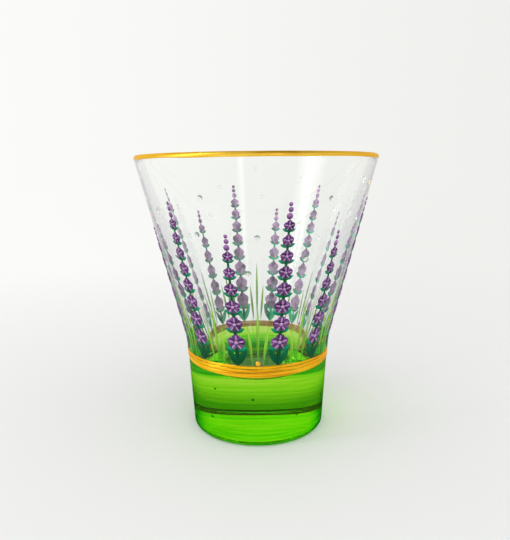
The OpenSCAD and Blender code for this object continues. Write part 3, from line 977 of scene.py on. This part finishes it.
class TUMBLER_OT_gold(BuildOperator, bpy.types.Operator):
    """Build the gold band, its beads and the gold lip"""
    bl_idname = "tumbler.gold"
    bl_label = "Gold"

    # Rows across a stroke, steps round it, and how far its edges wander
    rows = 14
    steps = 384
    wander = 0.09 * MM

    # From the band to its beads
    bead_gap = 0.05 * MM

    # Rows over the lip and steps round it; how high and how far the foot of its gold wanders
    lip_rows = 18
    lip_steps = 256
    lip_foot = 0.6 * MM
    lip_wander = 0.16 * MM

    def build(self, scene):
        gold = scene.tumbler_gold
        shape = wall()
        low = gold.band_low
        tones = (gold.deep, gold.body, gold.bright)
        back = paint_back("Gold back", gold.back)
        strokes = (("lower", gold.lower_stroke, 1.0), ("middle", gold.middle_stroke, 0.8),
                   ("upper", gold.upper_stroke, 0.35))
        for seed, (name, height, cover) in enumerate(strokes, 1):
            front = gold_paint(f"Gold paint {name}", cover, 2600, tones)
            bm = self.stroke(shape, gold, low, low + height, seed)
            finished(f"gold_stroke_{name}", bm, [front, back], "gold_paint",
                     f"gold_band_{name}_stroke")
            low += height + gold.stroke_gap
        bm = bmesh.new()
        for k in range(gold.beads):
            z = band_top() + gold.bead_diameter / 2 + self.bead_gap
            add_cap(bm, wall_matrix(shape, k * TURN / gold.beads, z), gold.bead_diameter)
        relief = gold_paint("Gold relief", 1.0, 900, tones, varnish=1.0)
        finished("gold_relief_beads", bm, [relief], "gold_paint", "gold_beads")
        self.build_lip(shape, gold)

    def stroke(self, shape, gold, low, high, seed):
        """Brush stroke right round the glass, with ridges and uneven edges."""
        top_z = band_top()
        rows = self.rows
        profile = [(i / rows, 1.0) for i in range(rows + 1)] + [(1.0, 0.0), (0.0, 0.0)]
        bm = bmesh.new()
        layer = bm.verts.layers.float_vector.new("stroke")
        verts = []
        for across, top in profile:
            vert = bm.verts.new((shape.foot_r, 0, low + (high - low) * across))
            vert[layer] = (across, top, 0)
            verts.append(vert)
        spun(bm, verts, [bm.edges.new(pair) for pair in zip(verts, verts[1:] + verts[:1])],
             self.steps)
        for vert in bm.verts:
            turn = math.atan2(vert.co.y, vert.co.x)
            across, top, _ = vert[layer]
            out = -SUNK
            if top:
                ridge = noise.noise((2.5 * math.cos(turn), 2.5 * math.sin(turn),
                                     across * 9 + seed * 5.3))
                edge = 1 - abs(2 * across - 1) ** 5
                out = gold.thickness * (0.12 + edge * (0.55 + 0.3 * ridge))
            ragged = 0.5 * sway(turn, seed + 9, 24.0)
            z = low + (high - low) * across
            z += self.wander * (sway(turn, seed) + ragged) * (1 - across)
            z += self.wander * (sway(turn, seed + 4) - ragged) * across
            behind = 0.5 + 0.5 * math.sin(turn)
            z = top_z - (top_z - z) * (1 - gold.narrow * behind)
            radius = shape.radius(z, min(out, gold.thickness))
            vert.co = (radius * math.cos(turn), radius * math.sin(turn), z)
        for face in bm.faces:
            face.material_index = int(not any(vert[layer].y for vert in face.verts))
        bmesh.ops.recalc_face_normals(bm, faces=bm.faces)
        return bm

    def build_lip(self, shape, gold):
        """Gold over the round lip, inside and out, with a slightly uneven lower edge."""
        feet = (shape.glass.height - gold.gild_depth, shape.glass.height - gold.gild_inside)
        outer = self.lip_line(shape, feet, gold.gild_thickness)
        inner = self.lip_line(shape, feet, -SUNK)
        bm = turned(outer + list(reversed(inner)), self.lip_steps, closed=True)
        for vert in bm.verts:
            radius = math.hypot(vert.co.x, vert.co.y)
            inside = radius < shape.lip.x
            low = max(0.0, 1 - (vert.co.z - feet[inside]) / self.lip_foot)
            if low:
                turn = math.atan2(vert.co.y, vert.co.x)
                z = vert.co.z + self.lip_wander * low * (1 + sway(turn, 7 + inside, 3.0))
                lean = math.tan(shape.inside_a if inside else shape.flare_a)
                scale = (radius + (z - vert.co.z) * lean) / radius
                vert.co = (vert.co.x * scale, vert.co.y * scale, z)
        front = gold_paint("Gold lip", 1.0, 1500, (gold.lip_deep, gold.lip, gold.lip_bright))
        finished("gilded_lip", bm, [front], "gold_lip", "lip_gilding")

    def lip_line(self, shape, feet, out):
        """Section line over the lip, from the outside foot to the inside one."""
        foot, inside_foot = feet
        around = arc(shape.lip, shape.lip_r + out, -shape.flare_a, math.pi - shape.inside_a,
                     self.lip_rows)
        outside = Vector((shape.radius(foot, out), foot))
        inside_r = (shape.bore.x + (inside_foot - shape.bore.y) * math.tan(shape.inside_a)
                    - out / math.cos(shape.inside_a))
        inside = Vector((inside_r, inside_foot))
        start = [outside] + straight(outside, around[0], 3)
        return start + around + straight(around[-1], inside, 3) + [inside]


class TUMBLER_OT_stems(BuildOperator, bpy.types.Operator):
    """Build the stems of the tall and the short sprigs"""
    bl_idname = "tumbler.stems"
    bl_label = "Stems"

    # Thickness as a share of the enamel's
    thickness = 0.62

    # How far a stem reaches under the band, up its lowest bud and to the side
    under_band = 0.3 * MM
    into_bud = 0.6 * MM
    bend = 0.35 * MM

    def build(self, scene):
        sprigs = scene.tumbler_sprigs
        tones = (sprigs.green_deep, sprigs.green, sprigs.mint)
        materials = both_sides("Stem", tones, 0.35, sprigs.back_green)
        dice = random.Random(11)
        foot = band_top() - self.under_band
        for tall, name in SPRIG_KINDS:
            size = (sprigs.stem_width, tip_height(tall) + self.into_bud - foot)
            stems = [(turn, [Dab(flat_place(0, foot), size, sprigs.enamel * self.thickness,
                                 self.half, 30, 4, bend=dice.uniform(-self.bend, self.bend))])
                     for turn in sprig_turns(tall)]
            paint(f"{name}_stems", stems, materials, "dark_green_enamel",
                  f"{name}_sprig_stems")

    @staticmethod
    def half(along):
        """Half width of a stem, which tapers to its tip."""
        sprigs = bpy.context.scene.tumbler_sprigs
        taper = sprigs.stem_tip_width / sprigs.stem_width
        return (1 + (taper - 1) * along) * min(1.0, 14 * along, 14 * (1 - along) + 0.2)


class TUMBLER_OT_leaves(BuildOperator, bpy.types.Operator):
    """Build the leaves at the foot of each sprig"""
    bl_idname = "tumbler.leaves"
    bl_label = "Foot leaves"

    # Thickness as a share of the enamel's
    thickness = 0.85

    # How far a leaf reaches under the band and bends to the side
    under_band = 0.1 * MM
    bend = 0.4 * MM

    def build(self, scene):
        sprigs = scene.tumbler_sprigs
        leaves = scene.tumbler_leaves
        tones = (sprigs.green_deep, sprigs.green, sprigs.mint)
        materials = both_sides("Leaf", tones, 0.35, sprigs.back_green)
        dice = random.Random(12)
        groups = []
        for turn in sprig_turns(True) + sprig_turns(False):
            dabs = []
            for side in (-1, 1):
                lean = -side * leaves.leaf_lean + dice.uniform(-0.06, 0.06)
                size = (leaves.leaf_width, leaves.leaf_length * dice.uniform(0.93, 1.0))
                dabs.append(Dab(flat_place(0, band_top() - self.under_band, lean), size,
                                sprigs.enamel * self.thickness, leaf_half, 12, 6, groove=0.4,
                                bend=side * self.bend))
            groups.append((turn, dabs))
        paint("foot_leaves", groups, materials, "leaf_green_enamel", "sprig_foot_leaves")


class TUMBLER_OT_cups(BuildOperator, bpy.types.Operator):
    """Build the green cups under the blossoms"""
    bl_idname = "tumbler.cups"
    bl_label = "Green cups"

    # Thickness as a share of the enamel's, and lean of each half of a cup from upright
    thickness = 0.9
    lean = math.radians(62)

    def build(self, scene):
        sprigs = scene.tumbler_sprigs
        tones = (sprigs.green, sprigs.mint, sprigs.green_deep)
        materials = both_sides("Cup", tones, 0.5, sprigs.back_green)
        dice = random.Random(13)
        groups = []
        for tall in (True, False):
            for turn in sprig_turns(tall):
                dabs = []
                for z, radius in blossom_rows(tall):
                    for side in (-1, 1):
                        lean = -side * (self.lean + dice.uniform(-0.08, 0.08))
                        size = (radius * 0.52, radius * 1.3 * dice.uniform(0.9, 1.0))
                        dabs.append(Dab(flat_place(0, z - radius, lean), size,
                                        sprigs.enamel * self.thickness, leaf_half,
                                        bend=side * 0.05 * radius))
                groups.append((turn, dabs))
        paint("green_cups", groups, materials, "teal_green_enamel", "blossom_cups")


class TUMBLER_OT_blossoms(BuildOperator, bpy.types.Operator):
    """Build the petals, their light strokes and the pale hearts"""
    bl_idname = "tumbler.blossoms"
    bl_label = "Blossoms"

    def build(self, scene):
        sprigs = scene.tumbler_sprigs
        deep = (sprigs.purple_deep, sprigs.purple, sprigs.lilac)
        pale = (sprigs.lilac, sprigs.pale, sprigs.purple)
        materials = both_sides("Petal", deep, 0.62, sprigs.back_purple, variety=0.8)
        light = enamel("Light stroke enamel", *pale, 0.6)
        heart = enamel("Heart enamel", *pale, 0.5)
        dice = random.Random(14)
        lights = []
        hearts = []
        for tall, name in SPRIG_KINDS:
            groups = []
            for turn in sprig_turns(tall):
                petals = []
                strokes = []
                dots = []
                for z, radius in blossom_rows(tall):
                    self.blossom(sprigs, dice, z, radius, petals, strokes, dots)
                groups.append((turn, petals))
                lights.append((turn, strokes))
                hearts.append((turn, dots))
            paint(f"{name}_blossom_petals", groups, materials, "purple_enamel",
                  f"{name}_sprig_blossoms")
        paint("petal_highlights", lights, [light, light], "lilac_enamel",
              "blossom_light_strokes")
        paint("pale_hearts", hearts, [heart, heart], "pale_lilac_enamel", "blossom_hearts")

    def blossom(self, sprigs, dice, z, radius, petals, strokes, dots):
        """One blossom: its petals, the light stroke on each, and its heart."""
        top = sprigs.enamel
        for p in range(sprigs.petals):
            turn = p * TURN / sprigs.petals + dice.uniform(-0.07, 0.07)
            grown = dice.uniform(0.93, 1.0)
            place = flat_place(0, z, turn) @ Matrix.Translation((0, 0.04 * radius, 0))
            petals.append(Dab(place, (0.9 * radius, 0.96 * radius * grown), top * 0.72,
                              petal_half, 6, 4, rise=top * 0.2, groove=0.3))
            place = flat_place(0, z, turn) @ Matrix.Translation((0, 0.24 * radius, 0))
            strokes.append(Dab(place, (0.24 * radius, 0.62 * radius * grown),
                               sprigs.light_stroke * 0.75, stroke_half, 5, 2,
                               rise=top * 0.95, bend=dice.uniform(-0.05, 0.05) * radius,
                               under=-top * 0.6))
        dots.append(Dab(flat_place(0, z - 0.2 * radius), (0.4 * radius, 0.4 * radius),
                        sprigs.light_stroke * 0.9, round_half, 6, 4, rise=top,
                        under=-top * 0.5))


class TUMBLER_OT_buds(BuildOperator, bpy.types.Operator):
    """Build the buds at the tips of the sprigs"""
    bl_idname = "tumbler.buds"
    bl_label = "Buds"

    # Thickness as a share of the enamel's, and what each next bud is smaller by
    thickness = 0.9
    shrink = 0.18

    def build(self, scene):
        sprigs = scene.tumbler_sprigs
        tones = (sprigs.purple, sprigs.lilac, sprigs.purple_deep)
        materials = both_sides("Bud", tones, 0.6, sprigs.back_purple)
        dice = random.Random(15)
        groups = []
        for tall in (True, False):
            for turn in sprig_turns(tall):
                dabs = []
                z = tip_height(tall)
                for j in range(sprigs.buds):
                    diameter = sprigs.bud_diameter * (1 - self.shrink * j)
                    lean = dice.uniform(-0.12, 0.12)
                    dabs.append(Dab(flat_place(0, z, lean), (diameter * 0.9, diameter * 0.98),
                                    sprigs.enamel * self.thickness, round_half, 6, 4,
                                    groove=0.15))
                    z += diameter
                groups.append((turn, dabs))
        paint("violet_buds", groups, materials, "violet_enamel", "tip_buds")


class TUMBLER_OT_grass(BuildOperator, bpy.types.Operator):
    """Build the long and the short blades of grass"""
    bl_idname = "tumbler.grass"
    bl_label = "Grass"

    # Thickness as a share of the enamel's
    thickness = 0.5

    # How far a blade reaches under the band, and most of its bend to the side
    under_band = 0.1 * MM
    long_bend = 0.6 * MM
    short_bend = 0.7 * MM

    def build(self, scene):
        leaves = scene.tumbler_leaves
        sprigs = scene.tumbler_sprigs
        front = enamel("Grass paint", leaves.grass_deep, leaves.grass, sprigs.green, 0.45,
                       cover=0.6)
        dice = random.Random(16)
        foot = band_top() - self.under_band
        thickness = sprigs.enamel * self.thickness
        long_blades = []
        short_blades = []
        for k in range(sprigs.sprigs):
            turn = k * TURN / sprigs.sprigs
            size = (leaves.grass_width, leaves.grass_length * dice.uniform(0.92, 1.0))
            bend = dice.uniform(-self.long_bend, self.long_bend)
            blade = Dab(flat_place(0, foot), size, thickness, leaf_half, 16, 4, bend=bend)
            long_blades.append((turn, [blade]))
            pair = []
            for side in (-1, 1):
                size = (leaves.grass_width,
                        leaves.grass_length * leaves.short_share * dice.uniform(0.86, 1.0))
                place = flat_place(side * leaves.grass_gap, foot, -side * leaves.grass_lean)
                pair.append(Dab(place, size, thickness, leaf_half, 12, 4,
                                bend=side * dice.uniform(0.0, self.short_bend)))
            short_blades.append((turn, pair))
        for name, blades in (("long", long_blades), ("short", short_blades)):
            paint(f"{name}_grass", blades, [front, front], "grass_green_paint",
                  f"{name}_grass_blades")


class TUMBLER_OT_drops(BuildOperator, bpy.types.Operator):
    """Build the scattered clear drops"""
    bl_idname = "tumbler.drops"
    bl_label = "Clear drops"

    # From drop to drop: rise as a share of their heights, and side as a share of a gap
    rise = 0.382
    side = 0.16

    def build(self, scene):
        drops = scene.tumbler_drops
        sprigs = scene.tumbler_sprigs.sprigs
        sprig_turn = TURN / sprigs
        shape = wall()
        bm = bmesh.new()
        for k in range(2 * sprigs):
            rise = (k * self.rise) % 1
            side = (k % 3 - 1) * self.side
            z = drops.low + (drops.high - drops.low) * rise
            add_cap(bm, wall_matrix(shape, (k // 2 + side) * sprig_turn, z), drops.diameter)
        finished("raised_drops", bm, [clear_relief(drops.tint)], "clear_relief", "clear_drops")


# The stage, in metres: the floor, and each lamp's name, place, size and share of the power
FLOOR_RADIUS = 3.0
LAMP_AIM = Vector((0, 0, 0.05))
LAMPS = (("window_left", (-0.95, -0.34, 0.75), (0.11, 1.4), 1.0),
         ("window_right", (0.33, -0.945, 0.8), (0.13, 1.2), 0.24))

# Distances from the axis: the foot's shade, and where the floor fades into the backdrop
FOOT_SHADE = (0.055, 0.024)
FLOOR_FADE = (0.05, 0.42)

# Direction that the further daylight comes from
SIDE_LIGHT = (-0.1, -0.76, 0.64)

# Edges of the wide window that the glass mirrors: turns of its sides and rise of its foot
WINDOW_LEFT = (-1.6, -1.4)
WINDOW_RIGHT = (-0.93, -1.03)
WINDOW_FOOT = (0.1, 0.25)

# Rise where the mirrored room overhead starts to be dimmer, and where it is dimmest
OVERHEAD = (0.6, 0.9)

# The camera's place, its dip and its tilt to the side, and its lens
CAMERA_PLACE = (-0.0007275, -0.20128, 0.09436)
CAMERA_DIP = 0.1779
CAMERA_TILT = -0.0098
CAMERA_LENS = 36.68
CAMERA_SENSOR = 36

LIGHT_BOUNCES = 32


class TUMBLER_OT_stage(BuildOperator, bpy.types.Operator):
    """Build the floor, backdrop, lamps and camera"""
    bl_idname = "tumbler.stage"
    bl_label = "Stage"

    def build(self, scene):
        stage = scene.tumbler_stage
        self.build_floor(scene, stage)
        self.build_daylight(scene, stage)
        for name, place, size, power in LAMPS:
            self.add_lamp(scene, name, place, size, stage.window * power)
        self.build_camera(scene)
        scene.view_settings.view_transform = "Standard"
        scene.cycles.max_bounces = LIGHT_BOUNCES
        scene.cycles.glossy_bounces = LIGHT_BOUNCES
        scene.cycles.transmission_bounces = LIGHT_BOUNCES
        scene.cycles.transparent_max_bounces = 2 * LIGHT_BOUNCES

    def build_floor(self, scene, stage):
        """Pale floor that fades into the backdrop's colour, with a painted shadow round the foot
        seen through the glass and a painted darker reflection in the glass.
        """
        bm = bmesh.new()
        bmesh.ops.create_circle(bm, cap_ends=True, segments=96, radius=FLOOR_RADIUS)
        mesh = bpy.data.meshes.new("floor")
        bm.to_mesh(mesh)
        bm.free()
        floor = bpy.data.objects.new("floor", mesh)
        scene.collection.objects.link(floor)
        made, tree, surface, output = new_material("Pale floor")
        mesh.materials.append(made)
        place = object_place(tree)
        away = vector_maths(tree, "LENGTH", place)["Value"]
        light = node(tree, "ShaderNodeLightPath").outputs
        through = light["Is Transmission Ray"]
        near = times(tree, through, ranged(tree, away, *FOOT_SHADE))
        bounced = times(tree, light["Is Singular Ray"], maths(tree, "SUBTRACT", 1.0, through))
        seen_tone = mixed(tree, near, stage.floor, stage.shaded)
        give(tree, surface, {"Base Color": mixed(tree, bounced, seen_tone, stage.mirrored),
                             "Roughness": 0.7})
        tone = use_group(tree, BACKDROP, {"Vector": place})["Color"]
        plain = node(tree, "ShaderNodeEmission", {"Color": tone, "Strength": 1.0})
        _, seen = self.looked_at(tree)
        blend(tree, output, times(tree, ranged(tree, away, *FLOOR_FADE), seen), surface, plain)

    def looked_at(self, tree):
        """Masks of what is mirrored or seen through glass, and of all that is looked at."""
        light = node(tree, "ShaderNodeLightPath").outputs
        mirrored = maths(tree, "MAXIMUM", light["Is Glossy Ray"], light["Is Transmission Ray"])
        return mirrored, maths(tree, "MAXIMUM", light["Is Camera Ray"], mirrored)

    def build_daylight(self, scene, stage):
        """Even daylight, the backdrop, and a wide window that the glass mirrors."""
        scene.world = bpy.data.worlds.new("Daylight")
        scene.world.use_nodes = True
        tree = scene.world.node_tree
        way = node(tree, "ShaderNodeTexCoord").outputs["Generated"]
        aside = vector_maths(tree, "DOT_PRODUCT", way, SIDE_LIGHT)["Value"]
        aside = maths(tree, "MAXIMUM", aside, 0.0)
        sky = give(tree, tree.nodes["Background"], {
            "Color": stage.sky,
            "Strength": times_add(tree, aside, stage.daylight_side, stage.daylight)})
        mirrored, seen = self.looked_at(tree)
        at = axes(tree, way)
        turn = maths(tree, "ARCTAN2", at["X"], times(tree, at["Y"], -1.0))
        window = times(tree, ranged(tree, turn, *WINDOW_LEFT, 0.0, stage.glow),
                       ranged(tree, turn, *WINDOW_RIGHT))
        window = times(tree, window, ranged(tree, at["Z"], *WINDOW_FOOT))
        overhead = ranged(tree, at["Z"], *OVERHEAD, 1.0, stage.overhead)
        strength = node(tree, "ShaderNodeMix", {0: mirrored, 2: 1.0,
                                                3: maths(tree, "ADD", overhead, window)})
        tone = use_group(tree, BACKDROP, {"Vector": way})["Color"]
        plain = node(tree, "ShaderNodeBackground", {"Color": tone,
                                                    "Strength": strength.outputs[0]})
        blend(tree, tree.nodes["World Output"], seen, sky, plain)

    def add_lamp(self, scene, name, place, size, power):
        data = bpy.data.lights.new(name, "AREA")
        data.shape = "RECTANGLE"
        data.size, data.size_y = size
        data.energy = power
        lamp = bpy.data.objects.new(name, data)
        scene.collection.objects.link(lamp)
        aim = (LAMP_AIM - Vector(place)).to_track_quat("-Z", "Y")
        lamp.matrix_world = Matrix.Translation(place) @ aim.to_matrix().to_4x4()

    def build_camera(self, scene):
        """Camera at the viewing angle of the photograph."""
        data = bpy.data.cameras.new("camera")
        data.sensor_width = CAMERA_SENSOR
        data.lens = CAMERA_LENS
        data.clip_start = 0.005
        camera = bpy.data.objects.new("camera", data)
        scene.collection.objects.link(camera)
        dip = Matrix.Rotation(math.pi / 2 - CAMERA_DIP, 4, "X")
        camera.matrix_world = (Matrix.Translation(CAMERA_PLACE) @ dip
                               @ Matrix.Rotation(CAMERA_TILT, 4, "Z"))
        scene.camera = camera


OPERATORS = (
    TUMBLER_OT_glass,
    TUMBLER_OT_base_coat,
    TUMBLER_OT_gold,
    TUMBLER_OT_stems,
    TUMBLER_OT_leaves,
    TUMBLER_OT_cups,
    TUMBLER_OT_blossoms,
    TUMBLER_OT_buds,
    TUMBLER_OT_grass,
    TUMBLER_OT_drops,
    TUMBLER_OT_stage,
)


class TUMBLER_PT_build(bpy.types.Panel):
    """Buttons that build the tumbler piece by piece"""
    bl_label = "Painted Tumbler"
    bl_space_type = "VIEW_3D"
    bl_region_type = "UI"
    bl_category = "Tumbler"

    def draw(self, context):
        for operator in OPERATORS:
            self.layout.operator(operator.bl_idname)
        for name in SETTINGS:
            settings = getattr(context.scene, name)
            box = self.layout.box()
            for key in settings.__annotations__:
                box.prop(settings, key)


def register():
    for made in (*SETTINGS.values(), *OPERATORS, TUMBLER_PT_build):
        bpy.utils.register_class(made)
    for name, made in SETTINGS.items():
        setattr(bpy.types.Scene, name, PointerProperty(type=made))


def unregister():
    for name in SETTINGS:
        delattr(bpy.types.Scene, name)
    for made in reversed((*SETTINGS.values(), *OPERATORS, TUMBLER_PT_build)):
        bpy.utils.unregister_class(made)


def main():
    """Builds every piece."""
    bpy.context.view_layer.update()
    register()
    for operator in OPERATORS:
        family, name = operator.bl_idname.split(".")
        getattr(getattr(bpy.ops, family), name)()
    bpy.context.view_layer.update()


if __name__ == "__main__":
    main()
